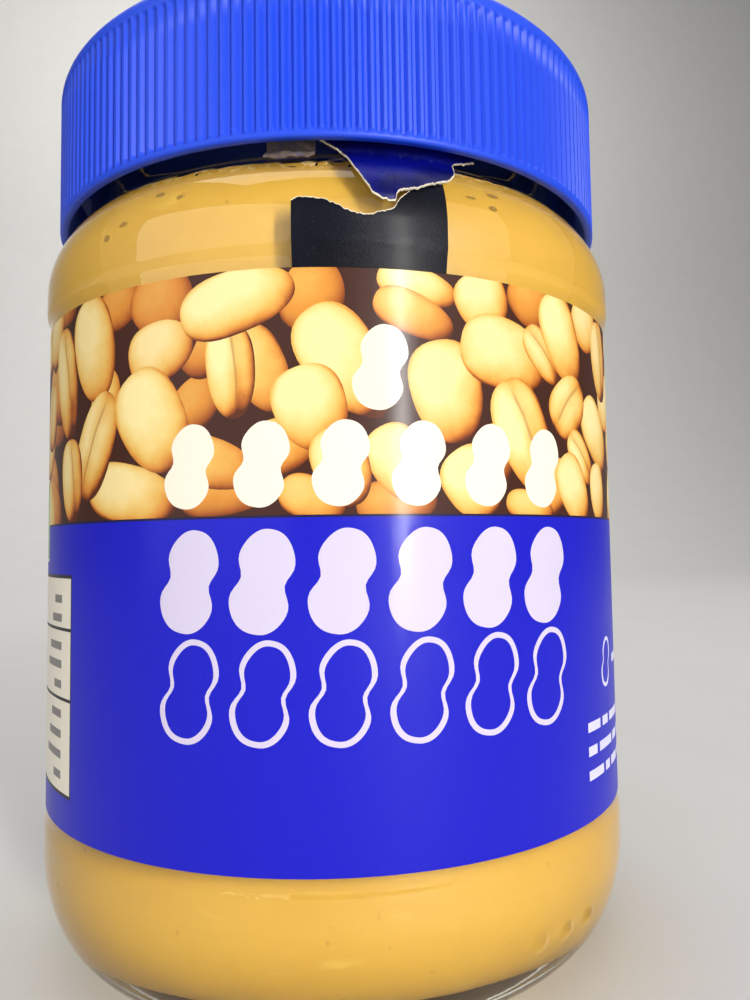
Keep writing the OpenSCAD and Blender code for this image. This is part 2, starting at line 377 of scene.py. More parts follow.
choose(butter, lambda place: place.z > (BUTTER_EDGE - 0.5) * MM
       and place.xy.length > (level_r - 0.4) * MM)
bpy.ops.transform.vertex_random(offset=0.1 * MM, uniform=0.6, normal=0.0, seed=4)

smooth_butter = Finish("smooth_peanut_butter", {
    "Roughness": 0.38,
    "IOR": 1.47,
    "Specular IOR Level": 0.4,
})
cloudy = smooth_butter.noise(smooth_butter.stretched((1, 1, 1.8)), 42, 3, 0.55)
smears = smooth_butter.noise(smooth_butter.stretched((1, 1, 3.4)), 120, 4, 0.6)
fine = smooth_butter.noise(smooth_butter.place(), 900, 3, 0.6)
body_colour = smooth_butter.blend(cloudy, ink(188, 141, 44), ink(206, 162, 62))
light_smear = smooth_butter.step(smears, 0.6, 0.8) * 0.4
body_colour = smooth_butter.blend(light_smear, body_colour, ink(222, 184, 88))
specks = smooth_butter.step(smooth_butter.noise(smooth_butter.place(), 620, 1), 0.73, 0.79)
body_colour = smooth_butter.blend(specks * 0.35, body_colour, ink(150, 98, 40))
pocket_dent_and_shade = None
for degrees, height, width, tall in POCKETS:
    radius = BODY_R - SHOULDER_R + math.sqrt(SHOULDER_R ** 2 - (height - SHOULDER_Z) ** 2) - WALL
    offset = smooth_butter.node("VectorMath", {"operation": "SUBTRACT"}, {
        0: smooth_butter.place(), 1: tuple(spot(degrees, radius, height - 1.4))})
    turned = smooth_butter.node("VectorRotate", {"rotation_type": "Z_AXIS"}, {
        "Vector": offset, "Center": (0, 0, 0), "Angle": -math.radians(degrees)})
    flat = smooth_butter.node("VectorMath", {"operation": "MULTIPLY"}, {
        0: turned, 1: (2 / width / MM, 0.3 / MM, 2 / tall / MM)})
    far = smooth_butter.node("VectorMath", {"operation": "LENGTH"}, {0: flat}, "Value")
    ragged = far + (fine - 0.5) * 1.1
    inside = 1 - smooth_butter.step(ragged, 0.75, 1.15)
    pocket_dent_and_shade = inside if pocket_dent_and_shade is None else pocket_dent_and_shade + inside
# Painted shade: the air pockets are darkened to dark brown for the shade in their hollows.
body_colour = smooth_butter.blend(pocket_dent_and_shade * 0.6, body_colour, ink(96, 62, 34))
height_share = smooth_butter.node("SeparateXYZ", {}, {0: smooth_butter.place()}, 2)
brim = smooth_butter.step(height_share, (BUTTER_EDGE - 0.9) * MM, (BUTTER_EDGE - 0.1) * MM)
# Painted glints: pale specks in a thin band at the fill's top edge stand in for light glinting
# there.
glint_noise = smooth_butter.noise(smooth_butter.place(), 1500, 2, 0.6)
painted_glints = smooth_butter.step(glint_noise, 0.5, 0.62) * brim
body_colour = smooth_butter.blend(painted_glints * 0.7, body_colour, ink(240, 218, 176))
smooth_butter.vary("Base Color", body_colour)
smooth_butter.vary("Roughness", 0.34 + smears * 0.18)
smooth_butter.bump(smears * 0.7 + fine * 0.3 - pocket_dent_and_shade * 1.2, 0.12, 0.5)
finish_piece(butter, smooth_butter.material, 40)
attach(butter, "root")
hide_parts("peanut_butter")


# ----------------------------------------------------------------------------------------
# Paper label. One varnished sheet is printed flat, wrapped once round the sunk panel and
# glued over its own start at the back. The print is a band of shelled peanuts over a blue
# field, with plain generic shapes where such a label has its words.

label_low, label_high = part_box("label")
PAPER_T = 0.1
LABEL_R = PANEL_R - 0.01
LABEL_Z0 = label_low.z / MM
LABEL_Z1 = label_high.z / MM
LABEL_LAP = 8
PRINT_R = PANEL_R + PAPER_T
LABEL_LENGTH = 2 * math.pi * PRINT_R + LABEL_LAP
BAND_Z0 = 50.7
CURVE_STEP = 1.5

BROWN_GAP = ink(58, 27, 12)
LABEL_BLUE = ink(14, 16, 176)
WHITE_INK = ink(226, 218, 200)
LILAC_INK = ink(196, 187, 210)
PALE_BLUE_INK = ink(206, 204, 232)
BLACK_INK = ink(22, 20, 30)
GREY_INK = ink(120, 116, 112)
GREEN_INK = ink(120, 176, 60)
AMBER_INK = ink(236, 168, 48)

FULLNESS = 0.86
KERNEL_STEPS = 36
POD_STEPS = 56
PLAIN, SPLIT, NUB, SHADED, BROWN = range(5)
# middle along the label, middle's height, length, width, turn in degrees, kind
FRONT_KERNELS = (
    (-27.9, 73.1, 6.4, 5.2, 21, SHADED), (-22.2, 72.4, 7.4, 7.6, 52, SHADED),
    (-6.4, 71.8, 7.4, 6.2, 80, SHADED), (17.7, 73.5, 6.4, 6.4, -47, SHADED),
    (-18.2, 61.9, 6.4, 4.8, 45, SHADED), (-15.0, 53.4, 10.4, 5.0, 8, SHADED),
    (1.5, 51.9, 8.0, 4.5, 5, SHADED), (-30.2, 63.2, 7.0, 5.0, 80, BROWN),
    (11.8, 56.5, 7.5, 5.5, 60, SHADED), (20.9, 54.0, 7.0, 5.0, 40, BROWN),
    (-9.6, 57.4, 7.0, 5.4, 20, BROWN), (-17.0, 67.6, 7.0, 6.0, 30, SHADED),
    (-26.7, 53.4, 13.1, 6.0, -10, PLAIN), (-17.0, 56.1, 10.3, 5.0, -16, BROWN),
    (-32.5, 69.1, 11.7, 7.6, -75, PLAIN), (-38.9, 66.4, 13.0, 5.9, -78, SPLIT),
    (-32.1, 58.7, 12.0, 6.4, 64, SPLIT), (-37.3, 55.4, 9.2, 5.4, -84, SPLIT),
    (-22.5, 67.4, 8.1, 6.2, 14, NUB), (-23.5, 60.5, 11.3, 8.3, -57, PLAIN),
    (-11.6, 64.9, 9.0, 5.3, -65, BROWN), (-14.5, 64.8, 9.4, 5.0, -85, SPLIT),
    (-14.0, 71.5, 12.1, 6.3, 15, PLAIN), (3.9, 73.0, 8.4, 3.8, -13, PLAIN),
    (3.5, 70.2, 8.6, 4.2, -21, BROWN), (-3.6, 65.6, 11.8, 7.3, -56, NUB),
    (-6.7, 61.0, 8.3, 7.0, -71, PLAIN), (1.8, 55.7, 7.9, 5.7, -60, PLAIN),
    (-3.8, 55.3, 7.8, 5.4, -71, PLAIN), (-6.6, 52.3, 6.6, 4.1, -21, BROWN),
    (6.9, 62.8, 10.3, 7.8, -78, PLAIN), (11.1, 72.2, 6.2, 6.4, -67, PLAIN),
    (14.0, 67.1, 11.4, 7.5, -9, NUB), (19.4, 67.7, 7.4, 4.0, -45, SPLIT),
    (28.9, 73.1, 6.9, 7.0, -41, PLAIN), (34.3, 69.6, 9.7, 7.0, -79, SPLIT),
    (23.1, 70.1, 10.6, 6.8, -62, PLAIN), (31.7, 60.4, 10.4, 6.6, -37, PLAIN),
    (16.4, 58.8, 12.6, 7.2, -64, SPLIT), (24.1, 62.8, 7.9, 6.4, 42, SPLIT),
    (9.6, 53.9, 7.5, 6.6, -57, PLAIN), (16.9, 51.6, 7.0, 3.2, -10, BROWN),
    (26.7, 57.3, 7.3, 4.1, -42, SPLIT), (24.8, 53.6, 8.6, 5.8, -54, PLAIN),
    (31.7, 53.7, 6.9, 5.2, -82, PLAIN),
)


def kernel_outline(middle_s, middle_z, length, width, turn, kind):
    """A shelled peanut's outline: a full egg, and on some kinds a little nose at one end."""
    points = []
    for step in range(KERNEL_STEPS):
        angle = 2 * math.pi * step / KERNEL_STEPS
        along = math.copysign(abs(math.cos(angle)) ** FULLNESS, math.cos(angle))
        across = math.copysign(abs(math.sin(angle)) ** FULLNESS, math.sin(angle))
        across *= 1 - 0.14 * math.cos(angle)
        if kind == NUB:
            nose = math.exp(-(min(angle, 2 * math.pi - angle) / 0.3) ** 2)
            along += 0.14 * nose
        points.append((along, across))
    turn = math.radians(turn)
    return [(middle_s + x * length / 2 * math.cos(turn) - y * width / 2 * math.sin(turn),
             middle_z + x * length / 2 * math.sin(turn) + y * width / 2 * math.cos(turn))
            for x, y in points]


def pod_outline(middle_s, middle_z, length, width, turn):
    """A whole peanut pod's outline: two round lobes with a waist between them."""
    points = []
    for step in range(POD_STEPS):
        angle = 2 * math.pi * step / POD_STEPS
        along = math.cos(angle) * length / 2
        round_side = math.copysign(abs(math.sin(angle)) ** 0.85, math.sin(angle))
        waist = 1.1 - 0.36 * math.exp(-(math.cos(angle) / 0.28) ** 2)
        across = round_side * waist * (1 - 0.07 * math.cos(angle)) * width / 2
        points.append((along, across))
    turn = math.radians(turn)
    return [(middle_s + x * math.cos(turn) - y * math.sin(turn),
             middle_z + x * math.sin(turn) + y * math.cos(turn)) for x, y in points]


def bar_outline(s0, s1, z0, z1):
    return [(s0, z0), (s1, z0), (s1, z1), (s0, z1)]


# Each printed field: outline, ink, (length, width, turn, kind) of a kernel or None, middle
half = LABEL_LENGTH / 2
printed = [(bar_outline(-half, half, LABEL_Z0, LABEL_Z1), BROWN_GAP, None)]


def scattered(count, s0, s1, seed):
    """Kernels for the band's sides and back, like those on the front."""
    spots = []
    for index in range(count):
        draw = [noise.cell(Vector((index * 7.3 + channel * 31.7, seed, 0.5)))
                for channel in range(6)]
        column = (index + 0.5) / count
        middle_s = s0 + (s1 - s0) * column + 3 * draw[0]
        middle_z = 51.5 + 11.5 * (index % 3) + 3 * draw[1]
        kind = (PLAIN, SPLIT, NUB, PLAIN, SPLIT)[int(abs(draw[5]) * 4.99)]
        spots.append((middle_s, middle_z, 9.8 + 2.6 * draw[2], 6.9 + 1.4 * draw[3],
                      180 * draw[4], kind))
    return spots


side_kernels = scattered(66, 38.5, half + 2, 3.0) + scattered(60, -half - 2, -42.5, 9.0)
behind = [(s + 3.1, z + 2.4, 9, 6.5, turn + 70, SHADED)
          for s, z, length, width, turn, kind in side_kernels]
for look in behind + side_kernels + list(FRONT_KERNELS):
    printed.append((kernel_outline(*look), BROWN_GAP, look))


def field(outline, colour):
    printed.append((outline, colour, None))


field(bar_outline(-half, half, LABEL_Z0, BAND_Z0), LABEL_BLUE)
field(bar_outline(-half, half, BAND_Z0 - 0.12, BAND_Z0 + 0.12), ink(18, 14, 60))

# One pod over the kernels, then a white, a lilac and an outlined row of pods
POD_TURN = 78
field(pod_outline(0.1, 64.9, 8.4, 5.0, POD_TURN), ink(220, 210, 190))
for s in (-18.9, -11.4, -3.8, 3.8, 11.4, 18.9):
    field(pod_outline(s, 55.7, 8.3, 5.0, POD_TURN), WHITE_INK)
    field(pod_outline(s, 44.6, 10.0, 5.8, POD_TURN), LILAC_INK)
    field(pod_outline(s, 34.2, 10.0, 5.8, POD_TURN), LILAC_INK)
    field(pod_outline(s, 34.2, 8.9, 4.7, POD_TURN), LABEL_BLUE)

# Three rows of plain bars at the right, under a small outlined pod
for z, lengths in ((27.0, (3.6, 2.2, 5.4, 3.0)), (24.4, (2.4, 5.0, 2.8, 4.6)),
                   (21.8, (4.4, 1.8, 3.8, 2.8))):
    start = 26.4
    for length in lengths:
        field(bar_outline(start, start + length, z, z + 1.05), PALE_BLUE_INK)
        start += length + 0.8
field(pod_outline(33.0, 34.0, 5.8, 3.4, POD_TURN - 3), PALE_BLUE_INK)
field(pod_outline(33.0, 34.0, 4.9, 2.6, POD_TURN - 3), LABEL_BLUE)
field(bar_outline(36.6, 43.5, 33.4, 34.4), PALE_BLUE_INK)

# Facts panel at the left, and colour tiles over it
FACTS_S0, FACTS_S1 = -72.0, -37.0
BAR_HALF = 0.45
field(bar_outline(FACTS_S0 - 0.35, FACTS_S1 + 0.05, 21.1, 45.1), BLACK_INK)
field(bar_outline(FACTS_S0, FACTS_S1 - 0.2, 21.5, 44.7), WHITE_INK)
for z in (39.1, 31.5):
    field(bar_outline(FACTS_S0, FACTS_S1 - 0.2, z - 0.18, z + 0.18), BLACK_INK)
for index, z in enumerate((42.4, 40.3, 37.2, 35.2, 33.0, 29.8, 27.6, 25.4, 23.2)):
    reach = 2.8 + 1.1 * (index * 5 % 4)
    for start, end in ((FACTS_S1 - 2.9 - reach, FACTS_S1 - 2.9),
                       (FACTS_S1 - 22, FACTS_S1 - 12.5 - reach),
                       (FACTS_S0 + 1.6, FACTS_S0 + 8 + reach)):
        field(bar_outline(start, end, z - BAR_HALF, z + BAR_HALF), GREY_INK)
TILE_STEP = 8.4
for index, shade in enumerate((GREEN_INK, AMBER_INK, AMBER_INK, GREEN_INK)):
    left = -47.0 - TILE_STEP * (index + 1)
    field(bar_outline(left - 0.3, left + 8.1, 46.5, 56.3), WHITE_INK)
    field(bar_outline(left, left + 7.8, 46.8, 56.0), shade)
    field(bar_outline(left + 1.4, left + 6.4, 52.8, 53.6), BLACK_INK)
    field(bar_outline(left + 2.2, left + 5.6, 49.6, 50.4), BLACK_INK)

# Back panel with rows of plain bars, on the right of the overlap
field(bar_outline(58, 100, 20.5, 46.5), WHITE_INK)
for row in range(9):
    start = 60.5
    for word in range(7):
        reach = 2.4 + 1.2 * ((row * 3 + word * 5) % 4)
        if start + reach < 98:
            low = 43.1 - 2.6 * row
            field(bar_outline(start, start + reach, low, low + 2 * BAR_HALF), GREY_INK)
        start += reach + 0.9

# The print is cut into faces along every outline, and the topmost field inks each face
points, outlines, edges = [], [], []
for outline, colour, look in printed:
    outlines.append(list(range(len(points), len(points) + len(outline))))
    points += [Vector(point) for point in outline]
steps = int(LABEL_LENGTH / CURVE_STEP)
for index in range(1, steps):
    s = -half + LABEL_LENGTH * index / steps
    edges.append((len(points), len(points) + 1))
    points += [Vector((s, LABEL_Z0)), Vector((s, LABEL_Z1))]
flat_points, _, faces, _, _, owners = delaunay_2d_cdt(points, edges, outlines, 1, 1e-5)
kept = [(face, max(owner)) for face, owner in zip(faces, owners) if 0 in owner]

paper = bpy.data.meshes.new("paper_label")


def wrapped(point):
    """Where a point of the flat sheet lies on the jar; the sheet's end laps over its start."""
    turn = point.x / PRINT_R
    over = min(1, max(0, (turn - 2 * math.pi + half / PRINT_R) * PRINT_R / 1.5 + 1))
    ease = over * over * (3 - 2 * over)
    radius = LABEL_R + (PAPER_T + 0.012) * ease
    return Vector((radius * math.sin(turn), -radius * math.cos(turn), point.y)) * MM


paper.from_pydata([wrapped(point) for point in flat_points], [], [face for face, _ in kept])
label = bpy.data.objects.new("paper_label", paper)
bpy.context.collection.objects.link(label)
paper.uv_layers.new(name="kernel_place")
paper.attributes.new("flat_ink", "FLOAT_COLOR", "CORNER")
paper.attributes.new("kernel_turn", "FLOAT_VECTOR", "CORNER")
paper.attributes.new("kernel_look", "FLOAT_VECTOR", "CORNER")
kernel_place = paper.uv_layers["kernel_place"].data
flat_ink = paper.attributes["flat_ink"].data
kernel_turn = paper.attributes["kernel_turn"].data
kernel_look = paper.attributes["kernel_look"].data
corner = 0
for face, owner in kept:
    outline, colour, look = printed[owner]
    for vertex in face:
        flat_ink[corner].color = (*colour, 1)
        if look is not None:
            middle_s, middle_z, length, width, turn, kind = look
            turn = math.radians(turn)
            along = flat_points[vertex].x - middle_s
            up = flat_points[vertex].y - middle_z
            kernel_place[corner].uv = (
                (along * math.cos(turn) + up * math.sin(turn)) / (length / 2),
                (-along * math.sin(turn) + up * math.cos(turn)) / (width / 2))
            tone = {SHADED: 0.42, BROWN: 0.66}.get(kind, 1.0)
            cleft = 1.0 if kind == SPLIT else 0.0
            kernel_turn[corner].vector = (math.cos(turn), math.sin(turn), 1)
            kernel_look[corner].vector = (tone, cleft, owner % 17 / 17)
        corner += 1
bpy.ops.object.select_all(action="DESELECT")
label.select_set(True)
bpy.context.view_layer.objects.active = label
bpy.ops.object.mode_set(mode="EDIT")
bpy.ops.mesh.select_all(action="SELECT")
bpy.ops.mesh.normals_make_consistent(inside=False)
bpy.ops.object.mode_set(mode="OBJECT")
out = sum(polygon.normal.dot(polygon.center) for polygon in paper.polygons)
if out < 0:
    paper.flip_normals()

varnished = Finish("varnished_print", {
    "Roughness": 0.45,
    "Specular IOR Level": 0.1,
    "Coat Weight": 0.2,
    "Coat Roughness": 0.17,
    "Coat IOR": 1.5,
})
local = varnished.node("UVMap", {"uv_map": "kernel_place"})
split_local = varnished.node("SeparateXYZ", {}, {0: local}).socket.node
along = Signal(varnished, split_local.outputs[0])
across = Signal(varnished, split_local.outputs[1])
turned = varnished.node("Attribute", {"attribute_name": "kernel_turn"}, {}, "Vector")
turn_node = varnished.node("SeparateXYZ", {}, {0: turned}).socket.node
cosine = Signal(varnished, turn_node.outputs[0])
sine = Signal(varnished, turn_node.outputs[1])
is_kernel = Signal(varnished, turn_node.outputs[2])
looks = varnished.node("Attribute", {"attribute_name": "kernel_look"}, {}, "Vector")
look_node = varnished.node("SeparateXYZ", {}, {0: looks}).socket.node
tone = Signal(varnished, look_node.outputs[0])
cleft = Signal(varnished, look_node.outputs[1])
seed = Signal(varnished, look_node.outputs[2])
inks = varnished.node("Attribute", {"attribute_name": "flat_ink"}, {}, "Color")

round_share = 1 - (abs(along) ** (2 / FULLNESS) + abs(across) ** (2 / FULLNESS))
bulge = varnished.node("Math", {"operation": "MAXIMUM"}, {0: round_share, 1: 0.0}) ** 0.5
skin = varnished.noise(varnished.place(), 330, 4, 0.6)
broad = varnished.noise(varnished.place(), 150, 2)
right = along * cosine - across * sine
up = along * sine + across * cosine
lit = bulge * 0.72 - right * 0.26 + up * 0.3 + (skin - 0.5) * 0.4 + (broad - 0.5) * 0.3
from_cleft = across - 0.2 + along * along * 0.2 + (broad - 0.5) * 0.3
crease = 1 - varnished.step(abs(from_cleft), 0.0, 0.1)
valley = 1 - varnished.step(abs(from_cleft), 0.0, 0.5)
far_half = varnished.step(from_cleft, -0.05, 0.1)
ends = 1 - varnished.step(abs(along), 0.6, 0.95)
lit = (lit + 0.14 - cleft * (valley * 0.22 + far_half * 0.1)) * tone
kernel_colour = varnished.node("ValToRGB", {"stops": (
    (0.0, ink(84, 36, 10)), (0.14, ink(152, 78, 22)), (0.32, ink(204, 134, 50)),
    (0.5, ink(216, 170, 82)), (0.72, ink(226, 196, 120)), (0.92, ink(233, 214, 152)))}, {0: lit})
kernel_colour = varnished.blend(cleft * crease * ends * 0.55, kernel_colour, ink(150, 88, 36))
kernel_colour = varnished.blend(seed * 0.16, kernel_colour, ink(222, 150, 70), "MULTIPLY")
print_colour = varnished.blend(is_kernel, inks, kernel_colour)
dust = varnished.noise(varnished.place(), 5200, 2)
print_colour = varnished.blend(0.05 * dust, print_colour, ink(110, 106, 120))
varnished.vary("Base Color", print_colour)
varnished.vary("Roughness", 0.38 + broad * 0.14)
grain = varnished.noise(varnished.stretched((1, 1, 0.8)), 3300, 3, 0.65)
swell = varnished.noise(varnished.stretched((1, 1, 0.35)), 90, 2)
varnished.bump(grain * 0.55 + swell * 0.9, 0.05, 0.55)

bare_paper = Finish("bare_paper", {"Roughness": 0.9})
fibres = bare_paper.noise(bare_paper.stretched((1, 1, 0.3)), 3000, 4, 0.7)
bare_paper.vary("Base Color", bare_paper.blend(fibres, ink(226, 220, 204), ink(244, 240, 230)))
bare_paper.bump(fibres, 0.04, 0.6)

paper.materials.clear()
paper.materials.append(varnished.material)
paper.materials.append(bare_paper.material)
thickness = label.modifiers.new("paper", "SOLIDIFY")
thickness.thickness = PAPER_T * MM
thickness.offset = 1
thickness.material_offset = 1
thickness.material_offset_rim = 1
bpy.ops.object.modifier_apply(modifier="paper")
bpy.ops.object.shade_smooth_by_angle(angle=math.radians(40))
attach(label, "root")
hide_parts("label")


# ----------------------------------------------------------------------------------------
# Paper seal. A printed paper strip ran from the label up over the shoulder to the lid. It
# has torn across when the jar was opened: the lower part is still stuck to the glass, and
# the upper part hangs out from under the lid, with a crumpled scrap beside it.

SEAL_T = 0.15
STRIP_TOP = ((-12.8, 81.0), (-11.5, 81.35), (-9.6, 81.25), (-7.8, 81.0), (-6.3, 80.6),
             (-4.8, 80.05), (-3.2, 79.7), (-1.5, 79.6), (0.5, 79.95), (2.2, 80.4),
             (3.4, 81.6), (6.0, 83.0), (8.0, 83.5), (10.6, 83.8))
FLAP_EDGE = ((-10.4, 89.2), (-9.0, 88.8), (-7.9, 88.45), (-6.5, 88.0), (-5.2, 87.4),
             (-4.3, 86.3), (-3.6, 85.0), (-2.1, 83.1), (-0.9, 81.7), (0.6, 81.2), (1.9, 80.95),
             (2.5, 81.1), (2.8, 81.9), (3.6, 82.2), (6.0, 82.6), (9.1, 83.45), (11.9, 84.1),
             (13.4, 85.3), (13.8, 86.0), (14.6, 87.0), (15.2, 87.55), (17.5, 87.85), (19.4, 88.3))
FLAP_TOP = 91
TUCKED_R = 34.12
STRIP_AZ, STRIP_SPAN = -12.8, 23.4
FLAP_AZ, FLAP_SPAN = -10.4, 29.8
SCRAP_AZ, SCRAP_SPAN = -18.2, 8.6


def edge_height(edge, degrees, rough):
    """Height of a torn edge at an azimuth, with the fibres' fine raggedness."""
    for (az0, z0), (az1, z1) in zip(edge, edge[1:]):
        if degrees <= az1:
            break
    share = min(1, max(0, (degrees - az0) / (az1 - az0)))
    ragged = noise.noise(Vector((degrees * 2.3, z0, 4))) + 0.6 * noise.noise(
        Vector((degrees * 7.1, z1, 8)))
    return z0 + (z1 - z0) * share + rough * ragged


def glass_radius(height):
    """Outer radius of the glass between the label panel and the neck."""
    if height < PANEL_Z1 + PANEL_RAMP:
        share = min(1, max(0, (height - PANEL_Z1) / PANEL_RAMP))
        return PANEL_R + (BODY_R - PANEL_R) * share * share * (3 - 2 * share)
    if height < SHOULDER_Z:
        return BODY_R
    reach = SHOULDER_R ** 2 - (height - SHOULDER_Z) ** 2
    return max(NECK_R, BODY_R - SHOULDER_R + math.sqrt(max(0, reach)))


def paper_patch(name, columns, rows, place_at, material):
    """A thin sheet from a grid: place_at gives a column's and row's place and its distance
    from the torn edge in millimetres, which the finish reads."""
    bpy.ops.object.select_all(action="DESELECT")
    bpy.ops.mesh.primitive_grid_add(x_subdivisions=columns, y_subdivisions=rows, size=1)
    patch = bpy.context.object
    patch.name = name
    patch.data.name = name
    patch.data.attributes.new("from_tear", "FLOAT", "POINT")
    torn = patch.data.attributes["from_tear"].data
    for vertex in patch.data.vertices:
        vertex.co, torn[vertex.index].value = place_at(vertex.co.x + 0.5, vertex.co.y + 0.5)
    bpy.ops.object.mode_set(mode="EDIT")
    bpy.ops.mesh.select_all(action="SELECT")
    bpy.ops.mesh.normals_make_consistent(inside=False)
    bpy.ops.object.mode_set(mode="OBJECT")
    middle = patch.data.polygons[len(patch.data.polygons) // 2]
    if middle.normal.xy.dot(middle.center.xy) < 0:
        patch.data.flip_normals()
    patch.data.materials.append(material)
    thick = patch.modifiers.new("paper", "SOLIDIFY")
    thick.thickness = SEAL_T * MM
    thick.offset = 1
    bpy.ops.object.modifier_apply(modifier="paper")
    bpy.ops.object.shade_smooth_by_angle(angle=math.radians(50))
    return patch


def seal_paper(name, deep, bright, gloss, reach):
    """Printed seal paper, whose torn margin shows the pale fibres under the print."""
    seal = Finish(name, {
        "Specular IOR Level": 0.1,
        "Coat Weight": gloss,
        "Coat Roughness": 0.2,
    })
    tear = seal.node("Attribute", {"attribute_name": "from_tear"}, {}, "Fac")
    ragged = seal.noise(seal.place(), 1500, 4, 0.7)
    broad = seal.noise(seal.place(), 160, 2)
    fibres = seal.noise(seal.place(), 4200, 3, 0.7)
    pale = 1 - seal.step(tear + (ragged - 0.5) * reach * 2.2, reach * 0.6, reach)
    colour = seal.blend(seal.step(broad, 0.35, 0.65), deep, bright)
    # Painted sparkle: pale grey-blue flecks stand in for the grainy glints of the varnish.
    painted_sparkle = seal.step(seal.noise(seal.place(), 3600, 2, 0.8), 0.62, 0.74)
    colour = seal.blend(painted_sparkle * 0.14, colour, ink(96, 104, 124))
    fibre_colour = seal.blend(fibres, ink(176, 160, 132), ink(238, 230, 212))
    seal.vary("Base Color", seal.blend(pale, colour, fibre_colour))
    seal.vary("Roughness", 0.36 + pale * 0.5)
    seal.vary("Coat Weight", gloss - pale * gloss)
    seal.bump(fibres * pale + fibres * 0.5 + broad * 1.2, 0.1, 0.6)
    return seal.material


def strip_place(share, up):
    degrees = STRIP_AZ + STRIP_SPAN * share
    top = edge_height(STRIP_TOP, degrees, 0.16)
    height = LABEL_Z1 + (top - LABEL_Z1) * (1 - (1 - up) ** 1.8)
    wrinkle = 0.04 * noise.noise(Vector((degrees * 0.25, height * 0.35, 2)))
    radius = glass_radius(height) + max(0, wrinkle)
    if height <= SHOULDER_Z:
        over_ramp = (height - LABEL_Z1) / (PANEL_Z1 + PANEL_RAMP - LABEL_Z1)
        radius = max(radius, PANEL_R + (BODY_R - PANEL_R) * over_ramp)
    return spot(degrees, min(BODY_R, radius), height), top - height


strip = paper_patch("seal_strip", 120, 26, strip_place,
                    seal_paper("navy_seal_print", ink(4, 5, 14), ink(8, 10, 23), 0.06, 0.12))
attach(strip, "root")
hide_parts("seal_strip")


def flap_place(share, up):
    degrees = FLAP_AZ + FLAP_SPAN * share
    low = edge_height(FLAP_EDGE, degrees, 0.15)
    height = low + (FLAP_TOP - low) * (1 - (1 - up) ** 0.6)
    above = height - low
    wave = 0.12 * noise.noise(Vector((degrees * 0.3, 1, above * 0.3)))
    lift = 0.2 + 0.16 * math.exp(-above / 0.9) + max(-0.02, wave)
    radius = min(BODY_R, max(TUCKED_R, glass_radius(height) + lift))
    if height > NECK_Z - 0.4:
        radius = min(radius, TUCKED_R + 0.02)
    return spot(degrees, radius, height), above


blue_seal = seal_paper("blue_seal_print", ink(2, 3, 60), ink(3, 8, 108), 0.12, 0.2)
flap = paper_patch("seal_flap", 150, 24, flap_place, blue_seal)
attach(flap, "root")
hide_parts("seal_flap")


def scrap_place(share, up):
    degrees = SCRAP_AZ + SCRAP_SPAN * share
    low = 86.9 - 0.5 * math.sin(math.pi * share) + 0.2 * noise.noise(Vector((degrees, 3, 3)))
    height = low + (90 - low) * up
    folds = math.sin(degrees * 1.3 + up * 5) * 0.12
    folds += 0.3 * noise.noise(Vector((degrees * 0.7, height * 1.1, 6)))
    radius = glass_radius(height) + 0.5 + folds
    if height > NECK_Z - 0.3:
        radius = min(TUCKED_R, max(NECK_R + 0.5, radius))
    return spot(degrees, radius, height), height - low


scrap_finish = Finish("crumpled_seal_back", {"Roughness": 0.85})
scrap_fibres = scrap_finish.noise(scrap_finish.place(), 2600, 4, 0.7)
scrap_folds = scrap_finish.noise(scrap_finish.stretched((1, 1, 0.5)), 700, 3)
# Painted shade: the crumpled paper is painted dark grey-brown for the shade under the lid's rim,
# and bluer along its folds.
scrap_painted_shade_colour = scrap_finish.blend(scrap_fibres, ink(78, 68, 66), ink(118, 104, 94))
scrap_painted_shade_colour = scrap_finish.blend(scrap_finish.step(scrap_folds, 0.5, 0.62) * 0.5,
                                  scrap_painted_shade_colour, ink(70, 72, 112))
scrap_finish.vary("Base Color", scrap_painted_shade_colour)
scrap_finish.bump(scrap_folds + scrap_fibres * 0.3, 0.3, 0.7)
scrap = paper_patch("seal_scrap", 60, 20, scrap_place, scrap_finish.material)
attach(scrap, "root")


# ----------------------------------------------------------------------------------------
# Screw lid. Blue injection-moulded plastic: a skirt with fine grip ribs over a plain bead, a
# rounded crown, a shallow recess in its top, and six lugs inside that catch the threads.

lid_low, lid_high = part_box("lid")
LID_R = (lid_high.x - lid_low.x) / 2 / MM
LID_Z0 = lid_low.z / MM
LID_Z1 = lid_high.z / MM
LID_SIDES = 720
RIB_COLUMNS = 4
# room below and above the ribs' valleys, and their depth, in two steps
RIB_STEPS = ((0.05, 0.1, 0.16), (0.2, 0.3, 0.26))
RIB_Z0 = LID_Z0 + 0.6
RIB_Z1 = LID_Z1 - 3.3
SKIRT_IN_R = 34.3
EDGE_T = 1
EDGE_LEAD_H = 3
CEILING_Z = LIP_Z
CROWN_W = 5
CROWN_H = 2.9
RIM_W = 2
RECESS = 0.4
LUG_Z = 95.64

